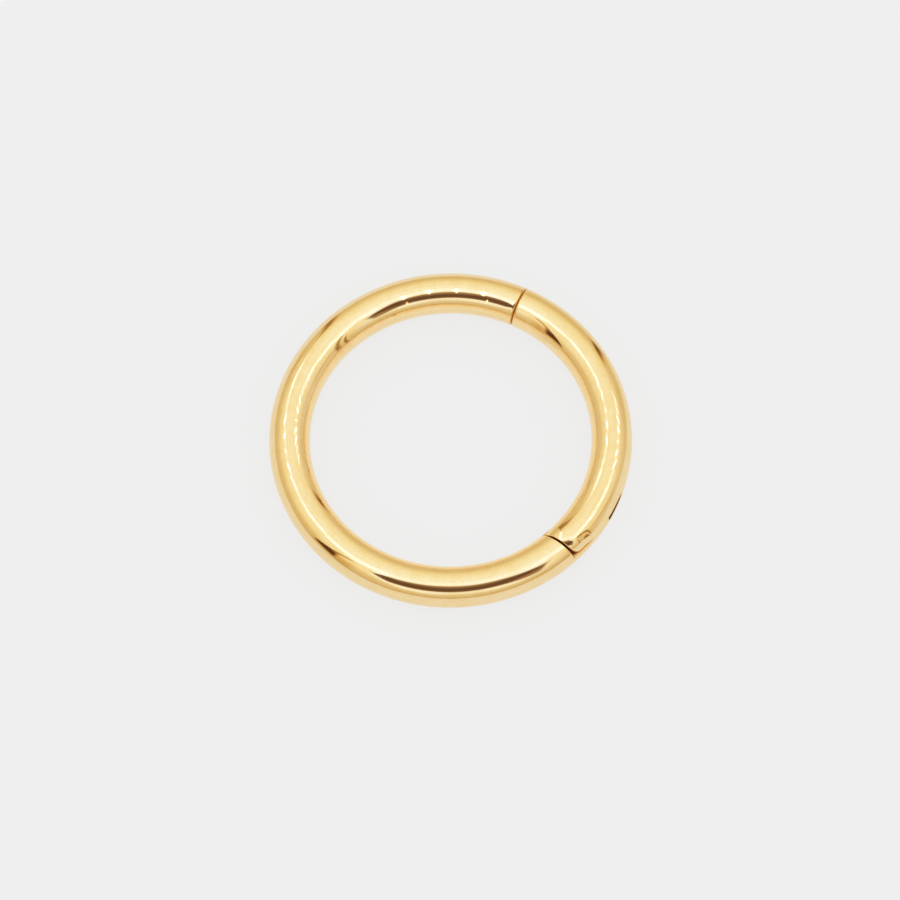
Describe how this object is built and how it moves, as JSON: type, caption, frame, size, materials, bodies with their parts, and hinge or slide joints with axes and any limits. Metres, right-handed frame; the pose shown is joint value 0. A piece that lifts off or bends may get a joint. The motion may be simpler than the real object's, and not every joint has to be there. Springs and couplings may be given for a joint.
{
  "type": "piercing ring",
  "caption": "Round-wire hoop for a piercing, with a hinged segment that swings outwards on a flush pin to open the ring and closes with a hidden tab.",
  "frame": {"origin": "centre of the closed ring, on the surface that it lies on", "axes": "+Z along the ring's axis, away from that surface; azimuths run anticlockwise from +X seen from above, with the hinge at -44.3 degrees and the closing seam at 63.2 degrees"},
  "size_m": [0.0142, 0.0142, 0.0016],
  "materials": {
    "gold": "mirror-polished pale gold plating over surgical steel"
  },
  "bodies": {
    "ring": {"ring_body": "gold"},
    "segment": {"hinged_segment": "gold", "hinge_pin": "gold"}
  },
  "joints": [
    {"name": "segment_hinge", "type": "hinge", "parent": "ring", "child": "segment", "pos_m": [0.00469, -0.00457, 0.0008], "axis": [0, 0, -1], "range_deg": [0, 90]}
  ]
}
